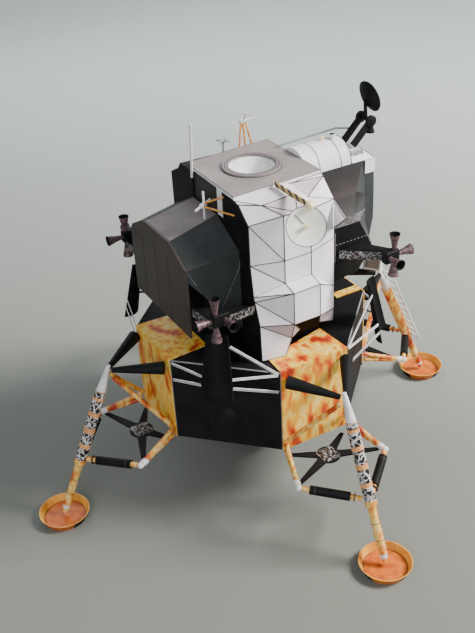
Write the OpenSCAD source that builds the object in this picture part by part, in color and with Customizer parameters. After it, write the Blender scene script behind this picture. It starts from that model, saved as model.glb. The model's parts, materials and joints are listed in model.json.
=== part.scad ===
// Card scale model of a two-stage lunar lander, in millimetres.
// +Z up, +X starboard, +Y forward (the ladder leg), floor at z = 0.

/* [Descent stage] */
// Half the width between opposite leg faces
stage_half = 43.5; // [36:0.5:52]
// Width of a leg face
face_w = 28.5; // [24:0.5:32]
// Height of the lower deck above the floor
deck_low_z = 29.7; // [26:0.1:36]
// Height of the upper deck above the floor
deck_top_z = 64.7; // [58:0.1:72]
// Thickness of the glued foil-print panels
foil_t = 0.4; // [0.3:0.05:0.8]
// Radius of the engine bell's mouth
bell_r = 15.9; // [12:0.1:18]
// Height of the engine bell's mouth above the floor
bell_z = 8.6; // [6:0.1:14]

/* [Legs] */
// Distance of the foot pads' centres from the middle
foot_r = 88.4; // [80:0.2:96]
// Distance of the top of a main strut from the middle
apex_r = 61.9; // [56:0.1:66]
// Height of the top of a main strut
apex_z = 61.7; // [56:0.1:66]
// Radius of the main strut's banded upper tube
strut_r = 2.15; // [1.6:0.05:2.6]
// Radius of the main strut's lower tube
piston_r = 1.55; // [1.2:0.05:1.9]
// Radius of a foot pad's rim
pad_r = 9.8; // [8:0.1:12]
// Height of a foot pad
pad_h = 3.2; // [2.4:0.1:4.5]
// Distance of the truss ends from the middle
truss_r = 61.8; // [56:0.1:66]
// Half the width between a leg's truss ends
truss_half = 19.3; // [16:0.1:22]
// Height of the truss ends
truss_z = 27.2; // [24:0.1:30]
// Radius of the truss and lower outrigger tubes
tube_r = 0.9; // [0.6:0.05:1.2]

/* [Ascent stage] */
// Height of the top deck
roof_z = 124.3; // [116:0.1:132]
// Forward end of the middle section
mid_fwd = 20.5; // [18:0.1:24]
// Aft end of the middle section
mid_aft = 16.2; // [14:0.1:19]
// Radius of the docking ring
dock_r = 10.8; // [8:0.1:13]
// Radius of the docking cone's mouth
dock_in_r = 8.8; // [6:0.1:10]
// How far the port tank fairing stands out past the starboard one
port_extra = 5.5; // [0:0.5:9]
// Distance of the aft rack behind the middle section
rack_gap = 19.8; // [16:0.1:24]
// Radius of the rounded cabin roof
cabin_roof_r = 8.4; // [7:0.1:9.4]
// Forward end of the cabin's nose
nose_y = 51.2; // [46:0.1:56]

/* [Thrusters] */
// Distance of each thruster cluster from both centre planes
quad_xy = 36; // [33:0.1:40]
// Height of the thruster clusters
quad_z = 91; // [86:0.1:98]
// Length of a thruster nozzle
nozzle_l = 6.2; // [4:0.1:8]
// Radius of a thruster nozzle's mouth
nozzle_r = 1.8; // [1.2:0.1:2.4]
// Distance of each plume deflector from both centre planes
deflector_xy = 35; // [32:0.1:38]
// Height of a plume deflector
deflector_h = 24; // [18:0.5:30]

/* [Antennas] */
// Radius of the radar dish
radar_r = 6.2; // [4:0.1:8]
// Radius of the steerable antenna's dish
steer_r = 6.6; // [5:0.1:8]
// Length of the steerable antenna's boom
boom_l = 19.5; // [16:0.5:24]
// Length of the rod antenna
rod_l = 21; // [14:0.5:28]

/* [Hidden] */
$fn = 48;
gap = 0.08; // hairline left between glued pieces
card = 0.6; // thickness of stiff card
SIDES = ["starboard", "forward", "port", "aft"];

face_half = face_w / 2;
stage_h = deck_top_z - deck_low_z;
apex = [apex_r, 0, apex_z];
floor_t = 0.6; // thickness of a pad's floor
foot = [foot_r, 0, floor_t + 1.3];
knee_at = 0.62; // share of the strut's length above the knee
cone_at = 0.165; // share of the strut's length taken by its tip cone
knee = along(apex, foot, knee_at);
cone_end = along(apex, foot, cone_at);
node_r = 1.25; // radius of a truss end's fitting

function along(a, b, s) = a + (b - a) * s;
function unit(v) = v / norm(v);

// A round bar from a to b
module rod(a, b, ra, rb) {
    d = b - a;
    translate(a) rotate([0, acos(d.z / norm(d)), atan2(d.y, d.x)])
        cylinder(h = norm(d), r1 = ra, r2 = is_undef(rb) ? ra : rb);
}

// A flat card strip from a to b, its width in the upright plane
module strip(a, b, wa, wb, t) {
    d = b - a;
    l = norm(d);
    translate(a) rotate([0, -asin(d.z / l), atan2(d.y, d.x)]) rotate([90, 0, 0])
        translate([0, 0, -t / 2]) linear_extrude(t)
            polygon([[0, -wa / 2], [l, -wb / 2], [l, wb / 2], [0, wa / 2]]);
}

// Leg i, drawn on the starboard side and turned to its place
module leg(i) rotate([0, 0, 90 * i]) children();

// Faces of a closed skin over rings of n points each
function skin(rings, n) = concat(
    [for (k = [0:rings - 2], i = [0:n - 1]) [k * n + i, (k + 1) * n + i, (k + 1) * n + (i + 1) % n]],
    [for (k = [0:rings - 2], i = [0:n - 1]) [k * n + i, (k + 1) * n + (i + 1) % n, k * n + (i + 1) % n]],
    [for (i = [1:n - 2]) [0, i, i + 1]],
    [for (i = [1:n - 2]) [(rings - 1) * n, (rings - 1) * n + i + 1, (rings - 1) * n + i]]);

module loft(rings) polyhedron(points = [for (r = rings) each r], faces = skin(len(rings), len(rings[0])));

// ---- descent stage ----

octagon = [for (i = [0:3]) each [
    turn2([stage_half, -face_half], 90 * i), turn2([stage_half, face_half], 90 * i)]];
function turn2(p, a) = [p.x * cos(a) - p.y * sin(a), p.x * sin(a) + p.y * cos(a)];

module stage_body() color("#17181a")
    translate([0, 0, deck_low_z]) linear_extrude(stage_h) polygon(octagon);

// Foil-print panels glued on the four leg faces
module foil_side_panels() color("#c98a2e")
    for (i = [0:3]) leg(i)
        translate([stage_half + gap, -face_half, deck_low_z]) cube([foil_t, face_w, stage_h]);

deck_foil_in = 27.5; // where the deck foil ends towards the middle

// Foil print on the upper deck over each leg bay, and the narrow strip beside the cabin
module foil_deck_panels() color("#d98f35") {
    for (i = [0, 2, 3]) leg(i)
        translate([0, 0, deck_top_z + gap]) linear_extrude(foil_t)
            polygon([[deck_foil_in, -face_half + 1], [stage_half + foil_t, -face_half],
                [stage_half + foil_t, face_half], [deck_foil_in, face_half - 1]]);
    for (s = [-1, 1]) translate([s * 11, 37.5, deck_top_z + gap + foil_t / 2]) cube([3.6, 12, foil_t], center = true);
}

// Low dome on the aft starboard face
module side_boss() color("#1c1d20")
    rotate([0, 0, -45]) translate([(stage_half + face_half) / sqrt(2) + gap, 0, 41])
        rotate([0, 90, 0]) intersection() {
            translate([0, 0, -6]) sphere(8.2);
            cylinder(r = 6, h = 3);
        }

bell_t = 0.6; // wall of the engine bell
throat_r = 4;

module engine_bell() color("#3a3532") rotate_extrude() polygon(concat(
    [for (s = [0:0.125:1]) bell_at(s, 0)], [for (s = [1:-0.125:0]) bell_at(s, bell_t)],
    [[0, deck_low_z - gap - 1.2], [0, deck_low_z - gap]]));
function bell_at(s, inset) = [
    throat_r + (bell_r - throat_r) * pow(s, 0.62) - (s > 0 ? inset : 0),
    (deck_low_z - gap) * (1 - s) + bell_z * s - (s > 0 ? 0 : inset * 2)];

// ---- legs ----

module main_strut() {
    color("#8c8780") rod(along(apex, foot, cone_at + 0.002), knee, strut_r);
    color("#e0a050") rod(along(apex, foot, knee_at), along(apex, foot, knee_at + 0.03), strut_r + 0.1);
    color("#d9a04a") rod(along(apex, foot, knee_at + 0.029), foot, piston_r);
}

module starboard_strut() leg(0) main_strut();
module forward_strut() leg(1) main_strut();
module port_strut() leg(2) main_strut();
module aft_strut() leg(3) main_strut();

// White cones that cap the main struts
module strut_tips() color("#e8e8ea") for (i = [0:3]) leg(i) rod(apex, cone_end, 0.75, 1.85);

module pad() translate([foot_r, 0, 0]) color("#cf7a35") rotate_extrude()
    polygon([[0, 0], [pad_r - 1.5, 0], [pad_r, pad_h], [pad_r - 0.45, pad_h],
        [pad_r - 1.7, floor_t], [0, floor_t]]);

module starboard_pad() leg(0) pad();
module forward_pad() leg(1) pad();
module port_pad() leg(2) pad();
module aft_pad() leg(3) pad();

sleeve_r = 1.65; // radius of a side brace's black sleeve

// Two side braces from the knee to the truss ends
module braces() for (s = [-1, 1]) {
    node_at = [truss_r, s * truss_half, truss_z];
    a = knee + unit(node_at - knee) * (strut_r + 0.6);
    b = node_at - unit(node_at - knee) * (node_r + 0.1);
    color("#d9a04a") rod(a, b, 0.95);
    color("#1c1c1c") rod(along(a, b, 0.2), along(a, b, 0.88), sleeve_r);
}

module starboard_braces() leg(0) braces();
module forward_braces() leg(1) braces();
module port_braces() leg(2) braces();
module aft_braces() leg(3) braces();

outrigger_r = 2.5; // radius of an upper outrigger where it meets the stage
outrigger_tip_r = 1;

// Black tapered upper tubes and foil-print lower tubes from the stage to the strut's top
module outriggers() for (s = [-1, 1]) {
    top = [stage_half + foil_t + outrigger_r * 0.65, s * (face_half - 1.6), deck_top_z - outrigger_r - 0.8];
    tip = [apex_r - 0.5, s * (outrigger_tip_r + 0.25), apex_z - 1.7];
    low = [stage_half + foil_t + gap * 2, s * (face_half - 1.6), deck_low_z + 5];
    low_tip = [apex_r - 0.6, s * 1.25, apex_z - 5];
    color("#1c1c1c") rod(top, tip, outrigger_r, outrigger_tip_r);
    color("#d9a04a") rod(low + [1, 0, 0], low_tip, tube_r);
}

module starboard_outriggers() leg(0) outriggers();
module forward_outriggers() leg(1) outriggers();
module port_outriggers() leg(2) outriggers();
module aft_outriggers() leg(3) outriggers();

// Paired truss tubes from a fitting out to the stage's lower corners
module truss() for (s = [-1, 1]) {
    node_at = [truss_r, s * truss_half, truss_z];
    color("#e8e8ea") translate(node_at) sphere(node_r);
    color("#d9a04a") for (h = [0, 2.6])
        rod([stage_half + foil_t + 1.1, s * (face_half - 0.5), deck_low_z + 0.9 + h], node_at, tube_r);
}

module starboard_truss() leg(0) truss();
module forward_truss() leg(1) truss();
module port_truss() leg(2) truss();
module aft_truss() leg(3) truss();

hub_r = 4.6; // half-width of a cross plate's middle
arm_in = [stage_half + foil_t + 1, face_half - 2.6];
arm_out = [truss_r - 1.9, truss_half - 1.6];

// Flat black crosses between the truss ends and the stage
module cross_plates() color("#1c1c1c") for (i = [0:3]) leg(i) {
    mid = [(arm_in.x + arm_out.x) / 2, 0];
    translate([0, 0, truss_z - 0.6]) linear_extrude(card) union() {
        translate(mid) circle(r = hub_r);
        for (s = [-1, 1], e = [arm_in, arm_out]) {
            tip = [e.x, s * e.y];
            n = turn2(unit(tip - mid), 90);
            polygon([mid + n * 2.1, mid - n * 2.1, tip - n * 0.7, tip + n * 0.7]);
        }
    }
}

// ---- ladder and porch ----

rung_gap = 4.6; // spacing of the ladder's rungs
ladder_half = 3.4; // half the ladder's width
rail_off = 3.4; // how far the rails stand off the strut's axis

module ladder() color("#c9c4cc") leg(1) {
    axis = unit(foot - apex);
    out = [axis.z, 0, -axis.x] * -1;
    a = apex + axis * 3 + out * rail_off;
    b = along(apex, foot, knee_at + 0.1) + out * rail_off;
    for (s = [-1, 1]) rod(a + [0, s * ladder_half, 0], b + [0, s * ladder_half, 0], 0.4);
    for (d = [1:rung_gap:norm(b - a) - 0.5])
        rod(a + axis * d + [0, -ladder_half, 0], a + axis * d + [0, ladder_half, 0], 0.35);
}

porch_w = 12.4;
porch_l = 7.8;
porch_wall = 0.7;
porch_tilt = 70; // it is glued nearly upright, its floor towards the cabin
porch_roll = -18;

// Tray-shaped platform standing on the upper outriggers of the forward leg
module porch() color("#cfd0d2") translate([0, apex_r - 2.6, apex_z + 0.95])
    rotate([0, porch_roll, 0]) rotate([porch_tilt, 0, 0]) translate([-porch_w / 2, 0, 0]) difference() {
        cube([porch_w, porch_l, 1.4]);
        translate([porch_wall, porch_wall, 0.6])
            cube([porch_w - porch_wall * 2, porch_l - porch_wall * 2, 2]);
    }

// ---- plume deflectors ----

deflector_top = deck_top_z + 18;
deflector_lean = 16; // the lower end stands further out
deflector_arc = 110; // how far round its axis a deflector reaches
deflector_r = [4.6, 7.2]; // radius at the upper and the lower end

// Curved card sheet, hollow side outwards, behind the thruster's downward nozzle
module deflector(sx, sy) color("#141416")
    rotate([0, 0, atan2(sy, sx)]) translate([deflector_xy * sqrt(2), 0, deflector_top])
        rotate([0, -deflector_lean, 0]) rotate([0, 0, 180 - deflector_arc / 2])
            rotate_extrude(angle = deflector_arc)
                polygon([[deflector_r[0], 0], [deflector_r[0] + 0.4, 0],
                    [deflector_r[1] + 0.4, -deflector_h], [deflector_r[1], -deflector_h]]);

module deflector_forward_starboard() deflector(1, 1);
module deflector_aft_starboard() deflector(1, -1);
module deflector_aft_port() deflector(-1, -1);
module deflector_forward_port() deflector(-1, 1);

// Place on a deflector's edge, a share t of the way down, in the frame turned to its corner
function deflector_edge(t) = let(
    r = along(deflector_r[0], deflector_r[1], t) + 0.2, half = deflector_arc / 2,
    x = -r * cos(half), z = -deflector_h * t, a = -deflector_lean)
    [deflector_xy * sqrt(2) + x * cos(a) + z * sin(a), r * sin(half), deflector_top - x * sin(a) + z * cos(a)];

// White hatched strips that hold each deflector off the stage; the long one is on the side
// of the starboard or port leg
module deflector_stays() color("#c4c6ca") for (i = [0:3]) rotate([0, 0, 90 * i + 45]) {
    root_r = (stage_half + face_half) / sqrt(2) + 0.5;
    root_side = (stage_half - face_half) / sqrt(2) - 0.8;
    for (s = [-1, 1]) for (stay = [[0.8, 0.66], [8, 0.8], if (s == (i % 2 == 0 ? -1 : 1)) [0.3, 0.15]]) {
        end = deflector_edge(stay[1]);
        root = [root_r, s * root_side, deck_top_z - stay[0]];
        tip = [end.x, s * (end.y + 0.35), end.z];
        strip(root, tip, 1, 1, 0.3);
    }
}

// ---- ascent stage ----

seat_z = deck_top_z + foil_t + gap * 2; // what the ascent stage stands on
deck_t = 1; // thickness of the top deck plate
core_half = 11;
under_deck = roof_z - deck_t - gap; // top of what carries the top deck
dock_y = 2.6; // the docking port's centre
dock_depth = 6.5; // depth of the docking cone

// Middle section between the tank fairings
module ascent_core() color("#2a2422") difference() {
    translate([-core_half, -mid_aft + 0.6, seat_z])
        cube([core_half * 2, mid_fwd + mid_aft - 0.6, under_deck - seat_z]);
    translate([0, dock_y, roof_z - dock_depth - gap]) cylinder(r = dock_in_r, h = dock_depth);
}

module top_deck() color("#b5b0ac") translate([0, 0, roof_z - deck_t]) difference() {
    linear_extrude(deck_t) polygon([[19.4, -mid_aft], [-11, -mid_aft + 0.6], [-16.8, -mid_aft + 3.4],
        [-18.4, mid_fwd], [17.6, mid_fwd]]);
    translate([0, dock_y, -1]) cylinder(r = dock_in_r, h = deck_t + 2);
}

module docking_ring() color("#d8d6d4") translate([0, dock_y, roof_z + gap]) difference() {
    cylinder(r = dock_r, h = 0.7);
    translate([0, 0, -1]) cylinder(r = dock_in_r, h = 3);
}

// Cone that guides a docking probe
module docking_cone() color("#e6e6e6") translate([0, dock_y, roof_z]) rotate_extrude()
    polygon([[0, -dock_depth], [1.8, -dock_depth], [dock_in_r - gap, -0.5], [dock_in_r - gap, 0],
        [dock_in_r - gap - 0.5, 0], [1.4, -dock_depth + 0.6], [0, -dock_depth + 0.6]]);

function lift(z) = seat_z + (z - 64.7) * (roof_z - seat_z) / (124.3 - 64.7);

shoulder_aft = -4.8; // where the fairings' widest part begins and ends
shoulder_fwd = 6.2;
shoulder_mid = (shoulder_aft + shoulder_fwd) / 2;

// Rings of a tank fairing, from the deck edge down to the seat. Each has its aft corner, aft
// shoulder, middle, forward shoulder, forward corner and two inner points. x grows outwards,
// `out` widens the lower half and `sink` lowers the upper shoulder.
function fairing_rings(out, sink) = [
    fairing_ring([20.4, 124.3], [19.9, 124.3], [19.5, 124.3], [19.2, 124.3], [18.2, 124.3]),
    fairing_ring([22.4, 122.6 - sink / 3], [27, 122.3 - sink * 0.8], [27, 123.1 - sink * 0.8],
        [27, 120.4 - sink * 0.6], [19.4, 122.4], [-4.8, 3, 2.8]),
    fairing_ring([28.7, 117], [33, 119.4 - sink], [33, 119.3 - sink], [33, 118.9 - sink], [26.2, 116.1]),
    fairing_ring([28.7, 101.6], [33, 102.4], [33, 102.3], [33, 102.1], [26.3, 100.6]),
    fairing_ring([30.2, 89.7], [33, 93], [33, 93], [33, 93.1], [26.4, 90.8]),
    fairing_ring([30.8, 88], [38.5 + out, 91.4], [38.5 + out, 91.5], [38.5 + out, 91.6], [26.4, 80.5]),
    fairing_ring([33.8, 79.4], [38.5 + out, 78.6], [38.5 + out, 78.6], [38.5 + out, 78.6], [26.4, 76.3]),
    fairing_ring([34, 72], [36 + out, 71.5], [33 + out, 71.6], [32.8 + out, 71.6], [26.3, 70.5], [0.3, 0.3, 3.3]),
    fairing_ring([34.2, 64.7], [36, 64.7], [27.3, 64.7], [27.1, 64.7], [26, 64.7], [-2.4, 0.3, 6.6])];
// `shift` moves the three middle points forward
function fairing_ring(a, b, m, c, d, shift = [0, 0, 0]) = [
    [a.x, -mid_aft, level(a.y)], [b.x, shoulder_aft + shift[0], level(b.y)],
    [m.x, shoulder_mid + shift[1], level(m.y)], [c.x, shoulder_fwd + shift[2], level(c.y)],
    [d.x, mid_fwd, level(d.y)],
    [core_half + gap, mid_fwd, level(d.y)], [core_half + gap, -mid_aft, level(a.y)]];
function level(z) = min(lift(z), under_deck);

// Triangular card flap beside the cabin, on the fairing's forward edge
module fairing_flap() translate([0, mid_fwd, 0]) rotate([90, 0, 0]) linear_extrude(card)
    polygon([[26.9, lift(115.6)], [34, lift(111.4)], [26.9, lift(105)]]);

port_drop = 6.4; // how much lower the port fairing's upper shoulder is

module starboard_fairing() color("#eceaee") {
    loft(fairing_rings(0, 0));
    fairing_flap();
}
module port_fairing() color("#141416") mirror([1, 0, 0]) {
    loft(fairing_rings(port_extra, port_drop));
    fairing_flap();
}

bay_x = -2.5; // the aft bay sits a little to port

module aft_bay() color("#2b2c2e") {
    y0 = -mid_aft + 0.4 - gap;
    y1 = -mid_aft - rack_gap + 0.1;
    loft([
        [for (p = [[-24, 72], [-24, 104.5], [-9.2, 112.7], [9.2, 112.7], [24, 104.5], [24, 72]])
            [bay_x + p.x, y0 - 0.4, lift(p.y)]],
        [for (p = [[-21.4, 97], [-21.8, 101.8], [-10.2, 108.2], [10.2, 108.2], [21.8, 101.8], [21.4, 97]])
            [bay_x + p.x, y1, lift(p.y)]]]);
}

module aft_rack() color("#4a3f3c")
    translate([bay_x, -mid_aft - rack_gap, 0]) rotate([90, 0, 0]) linear_extrude(0.8)
        polygon([for (p = [[-22.4, 74.3], [-22.4, 100.5], [-20.6, 103], [-10.6, 108.6], [10.6, 108.6],
            [22.4, 102], [22, 74.3]]) [p.x, lift(p.y)]]);

// ---- cabin ----

cabin_y0 = mid_fwd + gap * 2;
roof_axis = 118; // height of the rounded roof's axis

module cabin_body() color("#232223") loft([
    cabin_ring([[8.4, 118, 0], [14, 109.5, 0], [20, 103.6, 0], [26, 103.8, 0], [26, 88, 0], [19, 76, 0], [8, 71, 0]], cabin_y0),
    cabin_ring([[8.4, 118, 12], [14, 109.5, 5], [20, 103.6, 0], [26, 103.8, -2], [26, 92, 4], [19, 78, 3], [8, 73, 3]], 34),
    cabin_ring([[8.4, 118, 0], [8.8, 110, 0], [9, 104, 0], [9.4, 98, 0], [9.6, 92, 0], [9, 84, 0], [6, 77, 0]], 47),
    cabin_ring([[8.4, 117.6, 0], [8.8, 110, 0], [9, 104, 0], [9, 98, 0], [9, 93, 0], [9, 83, -2], [6, 78, -2]], nose_y)]);
function cabin_ring(half, y) = concat(
    [for (p = half) [p.x, y + p.z, lift(p.y)]],
    [for (i = [len(half) - 1:-1:0]) [-half[i].x, y + half[i].z, lift(half[i].y)]]);

module cabin_roof() color("#ece8ec") intersection() {
    translate([0, cabin_y0, lift(roof_axis)]) rotate([-90, 0, 0]) cylinder(r = cabin_roof_r, h = 41 - cabin_y0);
    translate([-20, 0, lift(roof_axis) + gap]) cube([40, 60, 20]);
}

module cabin_nose() color("#e9e9ea") {
    loft([
        nose_ring([[5, 121.3], [8.6, 118.2]], 41 + gap),
        nose_ring([[5, 121.3], [8.6, 118.2]], 48),
        nose_ring([[3.5, 118.9], [8.6, 118.2]], nose_y)]);
}
function nose_ring(half, y) = [
    [half[0].x, y, lift(half[0].y)], [half[1].x, y, lift(half[1].y)],
    [-half[1].x, y, lift(half[1].y)], [-half[0].x, y, lift(half[0].y)]];

// ---- thrusters ----

// Each cluster is glued a little off its ideal place: outward and upward shifts
function quad_shift(sx, sy) = sy > 0 ? (sx > 0 ? [2.5, 2.6] : [0.8, 1.4]) : (sx > 0 ? [-2.7, -2.5] : [-0.8, 1.3]);
function quad_at(sx, sy) = let(r = quad_xy + quad_shift(sx, sy).x) [sx * r, sy * r, quad_z + quad_shift(sx, sy).y];

module quad(sx, sy) translate(quad_at(sx, sy)) scale_to(sx, sy) {
    color("#2b292b") translate([-1.6, -1.6, -2.4]) cube([3.2, 6.4, 4.8]);
    color("#8d7378") {
        rod([0, 0, 2.3], [0, 0, 2.3 + nozzle_l], 0.8, nozzle_r);
        rod([0, 0, -2.3], [0, 0, -2.3 - nozzle_l], 0.8, nozzle_r);
        rod([0, -1.5, 0], [0, -1.5 - nozzle_l, 0], 0.8, nozzle_r);
        rod([1.5, 3, 0], [1.5 + nozzle_l, 3, 0], 0.8, nozzle_r);
    }
}
// The clusters are drawn for the aft starboard corner and mirrored to the others
module scale_to(sx, sy) mirror([sx < 0 ? 1 : 0, 0, 0]) mirror([0, sy > 0 ? 1 : 0, 0]) children();

module thrusters_forward_starboard() quad(1, 1);
module thrusters_aft_starboard() quad(1, -1);
module thrusters_aft_port() quad(-1, -1);
module thrusters_forward_port() quad(-1, 1);

// Crinkled-foil arms from the cabin's sides and the aft bay out to the clusters
module thruster_brackets() color("#6b6a6c") for (sx = [-1, 1], sy = [-1, 1]) {
    hub = quad_at(sx, sy);
    end_x = abs(hub.x) - 1.6 - gap;
    rack_x = 22.8 + sx * bay_x;
    translate([0, 0, hub.z - (sy > 0 ? 2 : 4.6)]) linear_extrude(3.4) polygon([for (p = sy > 0
        ? [[26.7, mid_fwd + 2], [26.7, 33], [end_x, hub.y + 1], [end_x, hub.y - 4]]
        : [[rack_x, -mid_aft - rack_gap + 0.4], [31, -mid_aft - 0.2], [end_x, hub.y + 4], [end_x, hub.y - 1]])
        [sx * p.x, p.y]]);
}

// ---- antennas ----

radar_y = 53.4;
radar_z = 130.4;
hub_disc_r = 2.2; // radius of the discs that the radar's axle turns between

module radar_mount() color("#121212") {
    for (s = [-1, 1]) {
        strip([s * 3, 45.3, lift(121.3) + 1.2], [s * 3, radar_y, radar_z], 3, 3, 0.7);
        translate([s * 3, radar_y, radar_z]) rotate([0, 90, 0]) cylinder(r = hub_disc_r, h = 0.9, center = true);
    }
    rod([3, radar_y, radar_z - hub_disc_r - gap], [3, radar_y, radar_z - hub_disc_r - 2.2], 1.1, 1.7);
}

module radar_dish() color("#0e0e0e") translate([0, radar_y, radar_z]) {
    rotate([0, 90, 0]) cylinder(r = 0.7, h = 5, center = true);
    rod([0, 0, 0], [0, -0.55, 7.6], 0.7);
    translate([0, 1.1, 8.4]) rotate([-75, 0, 0]) rotate_extrude()
        polygon([[0, -1.8], [radar_r * 0.55, -1.2], [radar_r, 0.4], [radar_r - 0.3, 0.9],
            [radar_r * 0.55, -0.6], [0, -1.2]]);
}

boom_x = 19.2; // inner end of the boom
boom_y = 0.8;
boom_z = roof_z + 0.2;

module antenna_boom() color("#b9a24a")
    translate([boom_x, boom_y - 0.3, boom_z - 0.9]) cube([boom_l, 0.6, 1.8]);

ball_x = boom_x + boom_l + 1.6 + gap; // the ball that the dish turns on

module steerable_dish() {
    color("#efe3bd") translate([ball_x, boom_y, boom_z]) sphere(1.6);
    color("#eceae6") translate([ball_x + 1, boom_y - 2.2, boom_z - 6.4])
        rotate([0, 0, -28]) rotate([0, 62, 0]) rotate_extrude()
            polygon([[0, -0.6], [steer_r, 0.7], [steer_r, 1.2], [0, 0]]);
}

module rod_antenna() color("#dedede")
    rod([-10, -mid_aft - 0.6, roof_z - 3], [-8, -mid_aft - 0.6, roof_z - 3 + rod_l], 0.5);

// Legs from their feet to a small block, with two crossed strips on it
module cross_antenna(feet, head, spread, turn) {
    color("#d0803a") for (i = [0:len(feet) - 1])
        rod(feet[i], head + spread * (i - (len(feet) - 1) / 2), 0.36);
    translate(head) rotate(turn) {
        color("#d0803a") cube([1.4, 2.8, 1.3], center = true);
        color("#e4e2e0") translate([0.3, 0, 0]) cube([0.5, 0.6, 10.4], center = true);
        color("#e4e2e0") translate([-0.1, 0, 0]) cube([0.5, 10.4, 0.6], center = true);
    }
}

module cross_antennas() {
    cross_antenna([for (y = [9.4, 12, 15]) [-20.6, y, roof_z - 1.7]],
        [-23, 12.8, roof_z + 7.6], [0, 0.85, 0], [0, 30, 0]);
    cross_antenna([[13.1, -mid_aft - 0.5, roof_z - 2.2], [20.3, -mid_aft - 0.5, roof_z - 6.4]],
        [7.7, -mid_aft - 5.8, roof_z - 5.8], [0.5, 0, -0.9], [0, 0, 32]);
}

module small_antenna() color("#55605c") rod([-18.8, 1.5, roof_z - deck_t + 0.1], [-18.8, 1.5, roof_z + 3.4], 0.4);

// Thin bent wire from the top deck to the radar's port arm
module wire_rail() color("#7d8783") {
    bend = [-6.4, 44, roof_z + 2.6];
    rod([-9, mid_fwd - 1.5, roof_z + 0.5], bend, 0.35);
    translate(bend) sphere(0.5);
    rod(bend, [-3.9, 48.6, roof_z + 2.3], 0.35);
}

stage_body();
foil_side_panels();
foil_deck_panels();
side_boss();
engine_bell();
starboard_strut();
forward_strut();
port_strut();
aft_strut();
strut_tips();
starboard_pad();
forward_pad();
port_pad();
aft_pad();
starboard_braces();
forward_braces();
port_braces();
aft_braces();
starboard_outriggers();
forward_outriggers();
port_outriggers();
aft_outriggers();
starboard_truss();
forward_truss();
port_truss();
aft_truss();
cross_plates();
ladder();
porch();
deflector_forward_starboard();
deflector_aft_starboard();
deflector_aft_port();
deflector_forward_port();
deflector_stays();
ascent_core();
top_deck();
docking_ring();
docking_cone();
starboard_fairing();
port_fairing();
aft_bay();
aft_rack();
cabin_body();
cabin_roof();
cabin_nose();
thrusters_forward_starboard();
thrusters_aft_starboard();
thrusters_aft_port();
thrusters_forward_port();
thruster_brackets();
radar_mount();
radar_dish();
antenna_boom();
steerable_dish();
rod_antenna();
cross_antennas();
small_antenna();
wire_rail();
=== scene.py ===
import json
import math
import random

import bmesh
import bpy
import numpy as np
from mathutils import Matrix, Vector
from mathutils.bvhtree import BVHTree


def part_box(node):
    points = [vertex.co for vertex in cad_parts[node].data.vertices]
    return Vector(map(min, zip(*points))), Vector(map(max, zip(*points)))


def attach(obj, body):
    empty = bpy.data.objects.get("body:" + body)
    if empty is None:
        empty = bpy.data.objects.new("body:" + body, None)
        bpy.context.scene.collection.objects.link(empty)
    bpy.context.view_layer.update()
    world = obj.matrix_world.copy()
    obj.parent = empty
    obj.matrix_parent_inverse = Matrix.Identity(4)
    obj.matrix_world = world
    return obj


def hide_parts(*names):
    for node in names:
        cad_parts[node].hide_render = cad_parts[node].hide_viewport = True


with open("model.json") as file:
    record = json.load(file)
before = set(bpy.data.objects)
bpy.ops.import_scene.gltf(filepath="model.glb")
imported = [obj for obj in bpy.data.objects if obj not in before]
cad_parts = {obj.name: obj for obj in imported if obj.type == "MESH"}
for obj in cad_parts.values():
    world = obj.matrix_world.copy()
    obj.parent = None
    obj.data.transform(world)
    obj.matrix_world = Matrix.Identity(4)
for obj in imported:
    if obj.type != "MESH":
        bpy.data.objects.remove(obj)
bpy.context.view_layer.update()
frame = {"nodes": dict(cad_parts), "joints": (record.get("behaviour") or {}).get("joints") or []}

mm = 0.001
dice = random.Random(7)
rootBody = "root"


def linear(hexText):  # sRGB hex to linear RGBA
    parts = [int(hexText[i:i + 2], 16) / 255 for i in (1, 3, 5)]
    return tuple(c / 12.92 if c <= 0.04045 else ((c + 0.055) / 1.055) ** 2.4 for c in parts) + (1.0,)


def addNode(tree, kind, settings=None, links=None):  # one shader node, its values and what feeds it
    node = tree.nodes.new(kind)
    for name, value in (settings or {}).items():
        if name == "stops":
            ramp = node.color_ramp
            while len(ramp.elements) < len(value):
                ramp.elements.new(0.5)
            for element, (place, ink) in zip(ramp.elements, value):
                element.position, element.color = place, linear(ink)
        elif isinstance(name, int) or name in node.inputs:
            node.inputs[name].default_value = value
        else:
            setattr(node, name, value)
    for name, source in (links or {}).items():
        tree.links.new(source, node.inputs[name])
    return node


def startMaterial(name, roughness, **shaderValues):  # shader, its tree, and the surface point in mm
    made = bpy.data.materials.new(name)
    made.use_nodes = True
    tree = made.node_tree
    shader = tree.nodes["Principled BSDF"]
    shader.inputs["Roughness"].default_value = roughness
    for socket, value in shaderValues.items():
        shader.inputs[socket].default_value = value
    place = addNode(tree, "ShaderNodeTexCoord").outputs["Object"]
    point = addNode(tree, "ShaderNodeVectorMath", {"operation": "SCALE", "Scale": 1 / mm}, {0: place})
    return made, tree, shader, point.outputs[0]


def addGrain(tree, shader, point, grainMm, depth, roughRange=None):  # paper grain as bump, patchy gloss
    grain = addNode(tree, "ShaderNodeTexNoise", {"Scale": 1 / grainMm, "Detail": 3.0}, {"Vector": point})
    bump = addNode(tree, "ShaderNodeBump", {"Strength": depth, "Distance": 0.05 * mm},
                   {"Height": grain.outputs["Fac"]})
    tree.links.new(bump.outputs["Normal"], shader.inputs["Normal"])
    if roughRange:
        gloss = addNode(tree, "ShaderNodeTexNoise", {"Scale": 1 / 6.0, "Detail": 2.0}, {"Vector": point})
        span = addNode(tree, "ShaderNodeMapRange", {3: roughRange[0], 4: roughRange[1]},
                       {0: gloss.outputs["Fac"]})
        tree.links.new(span.outputs[0], shader.inputs["Roughness"])


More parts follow.
